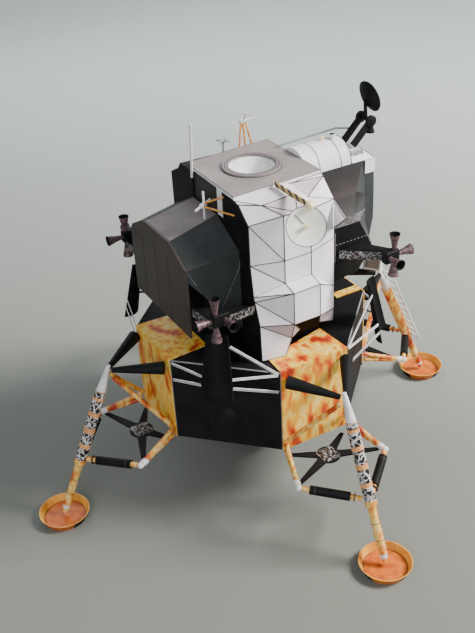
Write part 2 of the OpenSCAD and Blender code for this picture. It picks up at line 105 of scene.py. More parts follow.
def solidInk(name, spec):  # card with one printed ink: mottled a little, with paper grain
    made, tree, shader, point = startMaterial(name, spec["gloss"][0], **spec.get("shader", {}))
    mottle = addNode(tree, "ShaderNodeTexNoise", {"Scale": 1 / spec["mottleMm"], "Detail": 4.0},
                     {"Vector": point})
    ink = addNode(tree, "ShaderNodeValToRGB", {"stops": [(0.3, spec["inks"][0]), (0.7, spec["inks"][1])]},
                  {"Fac": mottle.outputs["Fac"]})
    tree.links.new(ink.outputs["Color"], shader.inputs["Base Color"])
    addGrain(tree, shader, point, spec["grainMm"], spec["bump"], spec["gloss"])
    return made


# inkjet-printed card: matt sheet with a soft sheen where the ink lies thick
cards = {
    # deep black ink, matt, with barely a sheen
    "blackInkCard": dict(inks=("#0a0b0d", "#161719"), mottleMm=9, grainMm=0.5, gloss=(0.5, 0.66), bump=0.25,
                         shader={"Specular IOR Level": 0.16}),
    # near-white sheet with a breath of lilac in its shadows
    "paleLilacCard": dict(inks=("#dcd6df", "#f2eef4"), mottleMm=16, grainMm=0.6, gloss=(0.52, 0.66),
                          bump=0.2),
    # lilac-pink tint painted on as shade: on the small recessed facets and the downward-facing facets low on
    # the skirt
    "shadedLilacCard": dict(inks=("#b9abb4", "#cdc0c8"), mottleMm=8, grainMm=0.6, gloss=(0.52, 0.66), bump=0.2),
    # warm grey print of the top deck and the porch floor, satin
    "warmGreyCard": dict(inks=("#7f7777", "#958c8b"), mottleMm=12, grainMm=0.6, gloss=(0.5, 0.65), bump=0.2),
    # brown-black print of the middle section, seen as a dark warm grey
    "brownGreyCard": dict(inks=("#1c1615", "#2a2221"), mottleMm=12, grainMm=0.6, gloss=(0.45, 0.6), bump=0.2),
    # dark mauve-brown print of the aft rack, a little glossier than bare card
    "mauveGreyCard": dict(inks=("#2a2221", "#3d3332"), mottleMm=12, grainMm=0.6, gloss=(0.45, 0.6), bump=0.2),
    # thinner black ink of the bay and the cabin, which reads as charcoal beside the deep black
    "charcoalCard": dict(inks=("#2d3032", "#404345"), mottleMm=14, grainMm=0.5, gloss=(0.5, 0.66), bump=0.25,
                         shader={"Specular IOR Level": 0.22}),
    # lilac-grey print on the aft bay's top
    "lilacGreyCard": dict(inks=("#5d5354", "#7a6f71"), mottleMm=10, grainMm=0.6, gloss=(0.5, 0.62), bump=0.2),
    # plain white card, a little uneven where fingers and glue touched it
    "whiteCard": dict(inks=("#c9cace", "#ececee"), mottleMm=5, grainMm=0.5, gloss=(0.5, 0.65), bump=0.2),
    # near-black brown painted as shade on the downward-facing undercut below the starboard fairing
    "undercutShadeCard": dict(inks=("#0d0907", "#1a130f"), mottleMm=5, grainMm=0.5, gloss=(0.75, 0.9), bump=0.2,
                          shader={"Specular IOR Level": 0.04}),
    # printed panel lines: near-black, with soft edges
    "lineInk": dict(inks=("#1d181b", "#363033"), mottleMm=2, grainMm=0.4, gloss=(0.5, 0.6), bump=0.1),
    # cut edges of black card, where the white core shows
    "paleEdge": dict(inks=("#6f696e", "#938d94"), mottleMm=3, grainMm=0.4, gloss=(0.5, 0.6), bump=0.1),
    # copper-orange print of the pads' floors, mottled, satin
    "copperFloor": dict(inks=("#b04c12", "#dc7a28"), mottleMm=3, grainMm=0.6, gloss=(0.4, 0.55), bump=0.25),
    # golden print of the pads' rims
    "goldRim": dict(inks=("#cd7c1e", "#edb146"), mottleMm=4, grainMm=0.6, gloss=(0.4, 0.55), bump=0.2),
    # pinkish-orange bands round the struts
    "pinkBand": dict(inks=("#cf8a4e", "#e9a873"), mottleMm=2, grainMm=0.4, gloss=(0.45, 0.55), bump=0.15),
    # mauve-brown print of the thruster nozzles, patchy and satin
    "mauveInk": dict(inks=("#2c1f23", "#75585e"), mottleMm=1.5, grainMm=0.4, gloss=(0.35, 0.5), bump=0.25),
    # dark metal-grey print of the engine bell, satin
    "darkBellInk": dict(inks=("#1b1718", "#2e2829"), mottleMm=5, grainMm=0.5, gloss=(0.35, 0.5), bump=0.2),
    # varnished cream bead, smoother than the card
    "creamBead": dict(inks=("#e9cf92", "#f8ecc8"), mottleMm=1.5, grainMm=0.4, gloss=(0.25, 0.35), bump=0.1),
    # off-white card of the dish, smooth and matt
    "dishCard": dict(inks=("#eeebe4", "#fbf9f4"), mottleMm=9, grainMm=0.5, gloss=(0.5, 0.62), bump=0.15),
    # grey-green painted wire with a small highlight
    "greyWire": dict(inks=("#6f7a76", "#93a09a"), mottleMm=3, grainMm=0.4, gloss=(0.25, 0.4), bump=0.1),
    # orange-printed strips of the tripods, blotched with yellow
    "orangeStrip": dict(inks=("#b04a1c", "#e9b55c"), mottleMm=1.6, grainMm=0.4, gloss=(0.4, 0.55), bump=0.1),
}
inks = {name: solidInk(name, spec) for name, spec in cards.items()}


def foilPrint(name, streakMm, stops, lean):  # golden foil as loose brushed dabs, printed in satin ink
    made, tree, shader, point = startMaterial(name, 0.42)
    wander = addNode(tree, "ShaderNodeTexNoise", {"Scale": 0.5 / streakMm, "Detail": 2.0}, {"Vector": point})
    bent = addNode(tree, "ShaderNodeVectorMath", {"operation": "MULTIPLY_ADD", 1: (streakMm * 0.9,) * 3},
                   {0: wander.outputs["Color"], 2: point})
    turned = addNode(tree, "ShaderNodeMapping", {"Rotation": lean, "Scale": (1.0, 1.0, 0.38)},
                     {"Vector": bent.outputs[0]})
    dabs = addNode(tree, "ShaderNodeTexNoise", {"Scale": 1 / streakMm, "Detail": 2.5, "Roughness": 0.5},
                   {"Vector": turned.outputs[0]})
    ink = addNode(tree, "ShaderNodeValToRGB", {"stops": stops}, {"Fac": dabs.outputs["Fac"]})
    tree.links.new(ink.outputs["Color"], shader.inputs["Base Color"])
    addGrain(tree, shader, point, 0.6, 0.25, (0.36, 0.52))
    return made


foilStops = [(0.28, "#9c2c14"), (0.36, "#cf5218"), (0.41, "#e0841f"), (0.46, "#e9a92a"), (0.52, "#efc03e"),
             (0.57, "#f3d27c"), (0.61, "#ebb834"), (0.66, "#dd8222"), (0.74, "#c44c18")]
inks["foilPrint"] = foilPrint("foilPrint", 5.0, foilStops, (0.6, 0.8, 0.5))
tubeStops = [(0.34, "#b5401a"), (0.42, "#d9742a"), (0.48, "#e6a63e"), (0.54, "#f2d084"), (0.60, "#e6a63c"),
             (0.70, "#c9622a")]
inks["foilTube"] = foilPrint("foilTube", 4.2, tubeStops, (0.2, 0.9, 0.3))


def crinklePrint(name, cellMm, stops):  # a print of crumpled foil: black with bright thin squiggles
    made, tree, shader, point = startMaterial(name, 0.35)
    warp = addNode(tree, "ShaderNodeTexNoise", {"Scale": 1.3 / cellMm, "Detail": 2.0}, {"Vector": point})
    push = addNode(tree, "ShaderNodeVectorMath", {"operation": "MULTIPLY_ADD", 1: (cellMm * 1.6,) * 3},
                   {0: warp.outputs["Color"], 2: point})
    folds = addNode(tree, "ShaderNodeTexVoronoi", {"feature": "DISTANCE_TO_EDGE", "Scale": 1 / cellMm},
                    {"Vector": push.outputs[0]})
    patch = addNode(tree, "ShaderNodeTexNoise", {"Scale": 0.8 / cellMm, "Detail": 2.0}, {"Vector": point})
    blend = addNode(tree, "ShaderNodeMath", {"operation": "MULTIPLY"},
                    {0: folds.outputs["Distance"], 1: patch.outputs["Fac"]})
    ink = addNode(tree, "ShaderNodeValToRGB", {"stops": stops}, {"Fac": blend.outputs[0]})
    tree.links.new(ink.outputs["Color"], shader.inputs["Base Color"])
    addGrain(tree, shader, point, 0.5, 0.3)
    return made


# wide squiggles on the struts
crinkleStops = [(0.0, "#ece8e8"), (0.03, "#c4bfc0"), (0.055, "#1b191a"), (0.2, "#0b0a0b"), (0.28, "#3f3d3e"),
                (0.33, "#121112")]
inks["crinklePrint"] = crinklePrint("crinklePrint", 1.9, crinkleStops)
# finer and greyer ones on the brackets and cross plates
crumpleStops = [(0.0, "#c4c0c0"), (0.014, "#7d7979"), (0.036, "#1d1a1a"), (0.2, "#100e0e"), (0.27, "#4c4848"),
                (0.31, "#161414")]
inks["silverCrumple"] = crinklePrint("silverCrumple", 1.6, crumpleStops)


def windowCard(name):  # the concave cabin side: black print with a soft banded sheen drawn across it
    made, tree, shader, point = startMaterial(name, 0.5, **{"Specular IOR Level": 0.12})
    split = addNode(tree, "ShaderNodeSeparateXYZ", links={0: point})
    height = addNode(tree, "ShaderNodeMapRange", {1: 100.0, 2: 120.0}, {0: split.outputs["Z"]})
    ink = addNode(tree, "ShaderNodeValToRGB",
                  {"stops": [(0.0, "#4a4949"), (0.25, "#2f2e2f"), (0.42, "#1c1b1c"), (0.5, "#332b2c"),
                             (0.58, "#231e1f"), (0.75, "#111011"), (1.0, "#0a0a0b")]},
                  {"Fac": height.outputs[0]})
    tree.links.new(ink.outputs["Color"], shader.inputs["Base Color"])
    addGrain(tree, shader, point, 0.5, 0.2, (0.45, 0.6))
    return made


inks["windowCard"] = windowCard("windowCard")


def stripedCard(name):  # diagonal black, ochre and brown stripes, about 2.5 mm apart
    made, tree, shader, point = startMaterial(name, 0.45)
    stripe = addNode(tree, "ShaderNodeTexWave", {"Scale": 1 / 7.0, "Distortion": 0.6, "Detail": 1.0,
                                                 "bands_direction": "DIAGONAL"}, {"Vector": point})
    ink = addNode(tree, "ShaderNodeValToRGB",
                  {"stops": [(0.25, "#1d1613"), (0.42, "#6a4a2c"), (0.55, "#d9c77c"), (0.8, "#b79a4e")]},
                  {"Fac": stripe.outputs["Fac"]})
    tree.links.new(ink.outputs["Color"], shader.inputs["Base Color"])
    addGrain(tree, shader, point, 0.4, 0.2)
    return made


inks["stripedCard"] = stripedCard("stripedCard")


def speckledStrip(name):  # the ledge: a grey print of fine metal mesh, drawn coarser than life
    made, tree, shader, point = startMaterial(name, 0.5)
    cells = addNode(tree, "ShaderNodeTexVoronoi", {"Scale": 1 / 0.7}, {"Vector": point})
    ink = addNode(tree, "ShaderNodeValToRGB",
                  {"stops": [(0.1, "#232324"), (0.45, "#4b4a4b"), (0.8, "#8f8d8d")]},
                  {"Fac": cells.outputs["Distance"]})
    tree.links.new(ink.outputs["Color"], shader.inputs["Base Color"])
    addGrain(tree, shader, point, 0.4, 0.3)
    return made


inks["speckledStrip"] = speckledStrip("speckledStrip")
print("materials:", len(inks))


class Piece:  # gathers points, faces and the ink of each face, then becomes one object
    def __init__(self, *inkNames):
        self.points, self.faces, self.kinds, self.inkNames = [], [], [], list(inkNames)

    def add(self, points, faces, ink=0):
        base = len(self.points)
        self.points += [Vector(p) for p in points]
        self.faces += [[base + i for i in face] for face in faces]
        self.kinds += [ink] * len(faces)

    def lathe(self, start, end, profile, ink=0, sides=32, inkAt=None):  # profile: (distance, radius) pairs
        start, end = Vector(start), Vector(end)
        along = (end - start).normalized()
        side = along.orthogonal().normalized()
        other = along.cross(side)
        rings = [[start + along * d + (side * math.cos(t) + other * math.sin(t)) * max(r, 0.01)
                  for t in (2 * math.pi * i / sides for i in range(sides))] for d, r in profile]
        for k in range(len(profile) - 1):
            faces = [[i, (i + 1) % sides, sides + (i + 1) % sides, sides + i] for i in range(sides)]
            self.add(rings[k] + rings[k + 1], faces, inkAt[k] if inkAt else ink)

    def tube(self, start, end, r0, r1=None, ink=0, sides=24, lip=0.12):  # closed rod with softened ends
        length = (Vector(end) - Vector(start)).length
        r1 = r0 if r1 is None else r1
        profile = [(0, 0), (0, r0 - lip), (lip, r0), (length - lip, r1), (length, r1 - lip), (length, 0)]
        self.lathe(start, end, profile, ink, sides)

    def plank(self, start, end, face, width, thick, ink=0, endWidth=None):  # flat strip facing `face`
        start, end, face = Vector(start), Vector(end), Vector(face).normalized()
        across = (end - start).cross(face).normalized()
        endWidth = width if endWidth is None else endWidth
        corners = [p + across * (s * w / 2) + face * (t * thick / 2)
                   for p, w in ((start, width), (end, endWidth)) for s in (-1, 1) for t in (-1, 1)]
        faces = [[0, 1, 3, 2], [4, 6, 7, 5], [0, 4, 5, 1], [2, 3, 7, 6], [0, 2, 6, 4], [1, 5, 7, 3]]
        self.add(corners, faces, ink)

    def ribbon(self, points, normals, width, ink=0, thick=0.05):  # thin printed line that follows a surface
        left, right = [], []
        for i, (p, n) in enumerate(zip(points, normals)):
            ahead = points[min(i + 1, len(points) - 1)] - points[max(i - 1, 0)]
            across = ahead.cross(n).normalized() * (width / 2)
            left.append(p + n * thick - across)
            right.append(p + n * thick + across)
        count = len(points)
        under = [p - n * (2 * thick) for p, n in zip(left, normals)] + \
                [p - n * (2 * thick) for p, n in zip(right, normals)]
        faces = []
        for i in range(count - 1):
            a, b, c, d = i, i + 1, count + i + 1, count + i
            e = 2 * count
            faces += [[a, b, c, d], [e + d, e + c, e + b, e + a], [a, e + a, e + b, b], [c, e + c, e + d, d]]
        faces += [[0, count, 3 * count, 2 * count], [count - 1, 3 * count - 1, 4 * count - 1, 2 * count - 1]]
        self.add(left + right + under, faces, ink)

    def finish(self, name, body=rootBody, stands=(), sharp=32):
        mesh = bpy.data.meshes.new(name)
        mesh.from_pydata([p * mm for p in self.points], [], self.faces)
        for inkName in self.inkNames:
            mesh.materials.append(inks[inkName])
        for polygon, kind in zip(mesh.polygons, self.kinds):
            polygon.material_index = kind
        work = bmesh.new()
        work.from_mesh(mesh)
        bmesh.ops.remove_doubles(work, verts=work.verts, dist=0.002 * mm)
        bmesh.ops.dissolve_degenerate(work, edges=work.edges, dist=0.001 * mm)
        bmesh.ops.recalc_face_normals(work, faces=work.faces)
        for face in work.faces:
            face.smooth = True
        for edge in work.edges:
            if len(edge.link_faces) != 2 or edge.calc_face_angle(0) > math.radians(sharp):
                edge.smooth = False
        work.to_mesh(mesh)
        work.free()
        made = bpy.data.objects.new(name, mesh)
        bpy.context.scene.collection.objects.link(made)
        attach(made, body)
        if stands:
            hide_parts(*stands)
        return made


def cadMesh(node):  # points (mm) and faces of a CAD node, with shared points joined
    mesh = frame["nodes"][node].data
    keys, points, index = {}, [], []
    for v in mesh.vertices:
        key = tuple(round(c / mm, 3) for c in v.co)
        if key not in keys:
            keys[key] = len(points)
            points.append(Vector(key))
        index.append(keys[key])
    faces = [[index[i] for i in p.vertices] for p in mesh.polygons]
    return points, [f for f in faces if len(set(f)) == len(f)]


def rodsOf(node):  # both ends and the centre of each rod-like solid of a CAD node
    points, faces = cadMesh(node)
    group = list(range(len(points)))

    def find(i):
        while group[i] != i:
            group[i] = group[group[i]]
            i = group[i]
        return i

    for face in faces:
        for i in face[1:]:
            group[find(i)] = find(face[0])
    rods = []
    for root in sorted({find(i) for i in range(len(points))}):
        cloud = np.array([points[i] for i in range(len(points)) if find(i) == root])
        centre = cloud.mean(0)
        axis = np.linalg.svd(cloud - centre)[2][0]
        reach = (cloud - centre) @ axis
        caps = [cloud[reach < reach.min() + 0.15], cloud[reach > reach.max() - 0.15]]
        ends = [Vector((cap.min(0) + cap.max(0)) / 2) for cap in caps]
        ends.sort(key=lambda p: -p.z)
        rods.append(dict(top=ends[0], bottom=ends[1], centre=Vector(centre)))
    return rods


def paint(node, *rules):  # gives a CAD node its inks: the first rule whose test holds decides a face's ink
    thing = frame["nodes"][node]
    mesh = thing.data
    mesh.materials.clear()
    for ink, _ in rules:
        mesh.materials.append(inks[ink])
    for polygon in mesh.polygons:
        centre, normal = polygon.center / mm, polygon.normal
        for i, (_, test) in enumerate(rules):
            if test is None or test(centre, normal):
                polygon.material_index = i
                break
    return thing


def foldEdges(node, minAngle=6, keep=None):  # (a, b, outward direction) of each fold of a CAD node
    points, faces = cadMesh(node)
    work = bmesh.new()
    made = [work.verts.new(p) for p in points]
    for face in faces:
        try:
            work.faces.new([made[i] for i in face])
        except ValueError:
            pass
    bmesh.ops.recalc_face_normals(work, faces=work.faces)
    found = []
    for edge in work.edges:
        if len(edge.link_faces) == 2 and edge.calc_face_angle(0) > math.radians(minAngle):
            a, b = (v.co.copy() for v in edge.verts)
            out = sum((f.normal for f in edge.link_faces), Vector()).normalized()
            if keep is None or keep((a + b) / 2, out):
                found.append((a, b, out))
    work.free()
    return found


def foldLines(piece, node, width=0.34, ink=0, minAngle=6, keep=None):
    for a, b, out in foldEdges(node, minAngle, keep):
        piece.ribbon([a, b], [out, out], width, ink)


def surfaceOf(*nodes):  # a searchable surface over some CAD nodes, in mm
    points, faces = [], []
    for node in nodes:
        p, f = cadMesh(node)
        faces += [[len(points) + i for i in face] for face in f]
        points += p
    return BVHTree.FromPolygons(points, faces)


def drawnLine(piece, surface, stations, width, ink=0, step=0.8, dashes=None):  # a line along a surface
    places = []
    for a, b in zip(stations, stations[1:]):
        a, b = Vector(a), Vector(b)
        count = max(2, int((b - a).length / step))
        places += [a.lerp(b, i / count) for i in range(count)]
    places.append(Vector(stations[-1]))
    hits = [surface.find_nearest(p) for p in places]
    line = [(h[0], h[1]) for h in hits if h[0] is not None]
    runs = [line] if not dashes else [line[i:i + 2] for i in range(0, len(line) - 1, dashes)]
    for run in runs:
        if len(run) > 1:
            piece.ribbon([p for p, _ in run], [n for _, n in run], width, ink)


def low(node):
    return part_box(node)[0] / mm


def high(node):
    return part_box(node)[1] / mm


view = dict(place=(277.61, -156.64, 260.89), lens=54.07, azimuth=61.637, elevation=32.073, roll=-3.302,
            sensor=36, nearest=10)


def addCamera():
    a, e, r = (math.radians(view[k]) for k in ("azimuth", "elevation", "roll"))
    back = Vector((math.sin(a) * math.cos(e), -math.cos(a) * math.cos(e), math.sin(e)))
    right = (-back).cross(Vector((0, 0, 1))).normalized()
    up = right.cross(-back)
    turned = (right * math.cos(r) + up * math.sin(r), up * math.cos(r) - right * math.sin(r), back)
    data = bpy.data.cameras.new("camera")
    data.lens = view["lens"]
    data.sensor_width = view["sensor"]
    data.clip_start = view["nearest"] * mm
    made = bpy.data.objects.new("camera", data)
    made.matrix_world = Matrix.Translation(Vector(view["place"]) * mm) @ Matrix(turned).transposed().to_4x4()
    bpy.context.scene.collection.objects.link(made)
    bpy.context.scene.camera = made


lamps = {
    "key": dict(place=(330, 520, 540), size=260, power=15.0, tint="#fffaf4"),
    "fill": dict(place=(-520, 60, 420), size=420, power=1.2, tint="#eef4ff"),
    "front": dict(place=(420, -420, 330), size=420, power=2.0, tint="#fbfbff"),
}
room = dict(aim=(0, 0, 70), tint="#dbe2de", strength=0.46)


def addLights():
    middle = Vector(room["aim"])
    for name, lamp in lamps.items():
        data = bpy.data.lights.new(name, "AREA")
        data.size, data.energy, data.color = lamp["size"] * mm, lamp["power"], linear(lamp["tint"])[:3]
        made = bpy.data.objects.new(name, data)
        place = Vector(lamp["place"])
        turn = (place - middle).to_track_quat("Z", "Y").to_matrix().to_4x4()
        made.matrix_world = Matrix.Translation(place * mm) @ turn
        bpy.context.scene.collection.objects.link(made)
    world = bpy.data.worlds.new("room")
    world.use_nodes = True
    sky = world.node_tree.nodes["Background"]
    sky.inputs["Color"].default_value = linear(room["tint"])
    sky.inputs["Strength"].default_value = room["strength"]
    bpy.context.scene.world = world


# studio paper: matt, with painted light away from the lens, where the window's light falls, and painted shade
# nearer the lens
paper = dict(reach=3000, away=(-0.80, 0.60, 0.0), span=(-1200.0, 800.0), roughness=0.85, grainMm=1.5,
             bump=0.1, stops=[(0.0, "#c9d2ce"), (0.3, "#9aa09b"), (0.47, "#6d6f69"), (0.6, "#7a7d77"),
                              (0.725, "#a9b0ab"), (0.85, "#d6e3de"), (1.0, "#eefaf6")])


def addFloor():
    made, tree, shader, point = startMaterial("studioPaper", paper["roughness"])
    away = addNode(tree, "ShaderNodeVectorMath", {"operation": "DOT_PRODUCT", 1: paper["away"]}, {0: point})
    depth = addNode(tree, "ShaderNodeMapRange", {1: paper["span"][0], 2: paper["span"][1]},
                    {0: away.outputs["Value"]})
    # painted light and shade: the floor's ink runs from dark near the lens to light far away
    ink = addNode(tree, "ShaderNodeValToRGB", {"stops": paper["stops"]}, {"Fac": depth.outputs[0]})
    tree.links.new(ink.outputs["Color"], shader.inputs["Base Color"])
    addGrain(tree, shader, point, paper["grainMm"], paper["bump"])
    mesh = bpy.data.meshes.new("floor")
    r = paper["reach"] * mm
    mesh.from_pydata([(-r, -r, 0), (r, -r, 0), (r, r, 0), (-r, r, 0)], [], [[0, 1, 2, 3]])
    mesh.materials.append(made)
    floor = bpy.data.objects.new("floor", mesh)
    bpy.context.scene.collection.objects.link(floor)


addCamera()
addLights()
addFloor()
print("camera, lights and floor: done")


stage = dict(edgeWidth=0.5)


def buildDescentStage():
    paint("stage_body", ("blackInkCard", None))
    paint("foil_side_panels", ("foilPrint", None))
    paint("foil_deck_panels", ("foilPrint", None))
    paint("side_boss", ("blackInkCard", None))
    edges = Piece("paleEdge")
    underside = low("stage_body").z
    foldLines(edges, "stage_body", stage["edgeWidth"], keep=lambda p, out: p.z > underside + 1)
    edges.finish("stage_edges")


buildDescentStage()

bell = dict(ribs=7, ribRadius=0.32, ribStart=0.08, probeFrom=60)


def buildEngineBell():  # printed rings run round the outside of the rolled cone
    paint("engine_bell", ("darkBellInk", None))
    ribs = Piece("darkBellInk")
    surface = surfaceOf("engine_bell")
    top, bottom = high("engine_bell"), low("engine_bell")
    for i in range(bell["ribs"]):
        z = bottom.z + (top.z - bottom.z) * (i + bell["ribStart"]) / bell["ribs"]
        hit = surface.ray_cast(Vector((bell["probeFrom"], 0, z)), Vector((-1, 0, 0)))
        if hit[0] is None:
            continue
        r, k = hit[0].x, bell["ribRadius"]
        profile = [(0, r - 0.05), (k * 0.4, r + k * 0.7), (k * 1.6, r + k * 0.7), (2 * k, r - 0.05)]
        ribs.lathe((0, 0, z - k), (0, 0, z + k), profile, sides=64)
    ribs.finish("engine_bell_ribs")


buildEngineBell()
print("descent stage: done")


sides = ("starboard", "forward", "port", "aft")
# shares of a tube's length for the rings and seams, and mm for the rest
strut = dict(rings=[(0.08, 0.12), (0.295, 0.35), (0.525, 0.59), (0.765, 0.82)], foilRing=(0.92, 0.97),
             seams=(0.36, 0.62), seamHalf=0.12, upperR=2.15, lowerR=1.55, kneeLength=2.0, footCollar=4.0,
             footTip=2.2)


def buildStrut(side):  # banded upper tube, ringed knee and seamed lower tube
    upper, lower = sorted(rodsOf(side + "_strut"), key=lambda rod: -rod["centre"].z)
    banded = side != "forward"
    piece = Piece("crinklePrint" if banded else "foilTube", "pinkBand", "foilTube", "lineInk", "whiteCard")
    top, knee, foot = upper["top"], upper["bottom"], lower["bottom"]
    r, rl = strut["upperR"], strut["lowerR"]
    length = (knee - top).length
    profile, kinds = [(0, 0), (0, r - 0.1), (0.1, r)], [1, 1]
    bands = strut["rings"] if banded else [strut["foilRing"]]
    for a, b in bands:
        profile += [(a * length, r), (a * length, r + 0.06), (b * length, r + 0.06), (b * length, r)]
        kinds += [0, 1, 1, 1]
    profile += [(length, r), (length, 0)]
    kinds += [0, 1]
    piece.lathe(top, knee, profile, inkAt=kinds, sides=40)
    reach = (foot - knee).length
    collar, tip, half = strut["footCollar"], strut["footTip"], strut["seamHalf"]
    ringEnd = strut["kneeLength"]
    cuts = [(0, 0, 1), (0, r + 0.1, 2), (ringEnd, r + 0.1, 2), (ringEnd, rl, 2)]
    for s in strut["seams"]:
        d = s * reach
        cuts += [(d - half, rl, 3), (d - half, rl + 0.04, 3), (d + half, rl + 0.04, 3), (d + half, rl, 2)]
    cuts += [(reach - collar, rl, 4), (reach - collar, rl - 0.12, 4), (reach - tip, rl - 0.22, 2),
             (reach - 0.3, rl - 0.55, 2), (reach, rl - 0.9, 2), (reach, 0, 2)]
    piece.lathe(knee, foot, [(d, rr) for d, rr, _ in cuts], inkAt=[k for _, _, k in cuts], sides=40)
    piece.finish(side + "_strut_banded", stands=[side + "_strut"])


pad = dict(rimWidth=1.9, floorThick=0.6, seamHalf=0.12)


def buildPad(side):
    centre = (low(side + "_pad") + high(side + "_pad")) / 2
    floorR = (high(side + "_pad").x - centre.x) - pad["rimWidth"]

    def radius(p):
        return math.hypot(p.x - centre.x, p.y - centre.y)

    paint(side + "_pad",
          ("copperFloor", lambda p, n: n.z > 0.8 and radius(p) < floorR + 0.3),
          ("goldRim", lambda p, n: n.z > 0.05),
          ("copperFloor", lambda p, n: math.cos(2 * math.atan2(p.y - centre.y, p.x - centre.x) + 1.2) > 0.35),
          ("blackInkCard", None))
    line = Piece("lineInk")
    z, half = low(side + "_pad").z + pad["floorThick"], pad["seamHalf"]
    profile = [(0, floorR - half), (0.06, floorR - half + 0.02), (0.06, floorR + half - 0.02),
               (0, floorR + half)]
    line.lathe((centre.x, centre.y, z), (centre.x, centre.y, z + 0.06), profile, sides=64)
    line.finish(side + "_pad_seam")


# sleeve: the share of a brace that its black sleeve covers; the rest in mm
tubes = dict(sleeve=(0.2, 0.88), sleeveR=1.69, braceR=1.1, fittingR=1.7, fittingPast=1.35, lowerR=1.05)


def axisDistance(p, rods):  # from a point to the nearest rod's axis
    return min((p - rod["top"]).cross(rod["bottom"] - rod["top"]).length / (rod["bottom"] - rod["top"]).length
               for rod in rods)


def buildLegTubes(side):
    braces = rodsOf(side + "_braces")
    for i, rod in enumerate(braces):
        rod["out"] = rod["bottom"] if rod["bottom"].xy.length < rod["top"].xy.length else rod["top"]
    sleeves = [[rod["top"].lerp(rod["bottom"], share) for share in tubes["sleeve"]] for rod in braces]
    paint(side + "_braces",
          ("foilTube", lambda p, n: axisDistance(p, braces) < tubes["braceR"]), ("blackInkCard", None))
    seams = Piece("lineInk", "whiteCard")
    r = tubes["sleeveR"]
    for a, b in sleeves:
        for end, inner in ((a, b), (b, a)):
            way = (inner - end).normalized()
            seams.lathe(end, end + way, [(0.02, 1.0), (0.02, r), (0.35, r), (0.35, 1.0)], sides=32)
    past = tubes["fittingPast"]
    fittings = [rod["out"] + (rod["out"] - (rod["bottom"] + rod["top"]) / 2).normalized() * past
                for rod in braces]
    for spot in fittings:
        inward = Vector((spot.x * 0.72, spot.y * 0.72, spot.z + 3.5)) - spot
        seams.lathe(spot, spot + inward, [(1.0, 0.3), (1.0, 1.32), (3.2, 1.25), (3.2, 0.3)], 1, 28)
    seams.finish(side + "_leg_collars")
    paint(side + "_truss",
          ("whiteCard", lambda p, n: min((p - spot).length for spot in fittings) < tubes["fittingR"]),
          ("foilTube", None))
    rods = sorted(rodsOf(side + "_outriggers"), key=lambda rod: -rod["centre"].z)
    lowerRods, top = rods[2:], high(side + "_outriggers").z
    paint(side + "_outriggers",
          ("foilTube", lambda p, n: axisDistance(p, lowerRods) < tubes["lowerR"] and p.z < top - 1.0),
          ("blackInkCard", None))


for side in sides:
    buildStrut(side)
    buildPad(side)
    buildLegTubes(side)
paint("strut_tips", ("whiteCard", None))

cross = dict(hub=4.5, lift=0.12, bumps=0.4, rings=4, around=20)


def buildCrossPlates():  # black card crosses with a crumpled foil patch glued on the middle
    paint("cross_plates", ("blackInkCard", None))
    patch = Piece("silverCrumple")
    plateTop = high("cross_plates").z
    r = (high("cross_plates").x + high("foil_side_panels").x) / 2
    for i in range(4):
        turn = Matrix.Rotation(math.radians(90 * i), 3, "Z")
        centre = turn @ Vector((r, 0, plateTop + cross["lift"]))
        rings, around = cross["rings"], cross["around"]
        points = [centre + Vector((0, 0, cross["bumps"]))]
        for k in range(1, rings + 1):
            for j in range(around):
                t = 2 * math.pi * j / around
                lobe = 0.9 + 0.16 * math.cos(4 * t + math.pi) + dice.uniform(-0.04, 0.04)
                reach = cross["hub"] * k / rings * lobe
                rise = dice.uniform(0, cross["bumps"]) * (1.6 if k < rings else 0)
                points.append(centre + Vector((reach * math.cos(t), reach * math.sin(t), rise)))
        faces = [[0, 1 + j, 1 + (j + 1) % around] for j in range(around)]
        for k in range(rings - 1):
            b = 1 + k * around
            faces += [[b + j, b + around + j, b + around + (j + 1) % around, b + (j + 1) % around]
                      for j in range(around)]
        base = len(points)
        points += [p - Vector((0, 0, p.z - plateTop - 0.02)) for p in points[1 + (rings - 1) * around:]]
        rim = 1 + (rings - 1) * around
        faces += [[rim + j, base + j, base + (j + 1) % around, rim + (j + 1) % around] for j in range(around)]
        faces.append([base + j for j in range(around)][::-1])
        patch.add(points, faces)
    patch.finish("cross_patches", sharp=8)


buildCrossPlates()
print("legs: done")


porchFloorR = 3.6
stayLines = dict(apart=0.4, width=0.13, thick=0.38)


def buildLadderAndPorch():
    paint("ladder", ("whiteCard", None))
    middle = (low("porch") + high("porch")) / 2
    paint("porch",
          ("warmGreyCard", lambda p, n: n.y < -0.8 and (p - middle).length < porchFloorR),
          ("whiteCard", None))


def buildDeflectors():
    for name in ("forward_starboard", "aft_starboard", "aft_port", "forward_port"):
        paint("deflector_" + name, ("blackInkCard", None))
    paint("deflector_stays", ("whiteCard", None))
    hatch = Piece("lineInk")  # two thin dark lines printed along each white strip
    for rod in rodsOf("deflector_stays"):
        face = (rod["bottom"] - rod["top"]).cross(Vector((0, 0, 1))).normalized()
        across = (rod["bottom"] - rod["top"]).cross(face).normalized()
        for s in (-1, 1):
            shift = across * (s * stayLines["apart"] / 2)
            hatch.plank(rod["top"] + shift, rod["bottom"] + shift, face, stayLines["width"],
                        stayLines["thick"])
    hatch.finish("stay_lines")


buildLadderAndPorch()
buildDeflectors()
print("ladder, porch and deflectors: done")


roofZ = high("top_deck").z
seatZ = low("ascent_core").z

# in mm: circles drawn round the ring, and the pale strip on the aft panel, its drops counted from the roof
deck = dict(ringLines=(0.12, -0.9, -1.9), foldWidth=0.22, panelX=8.7, panelWidth=4.4, panelDrop=(1.3, 11.5))


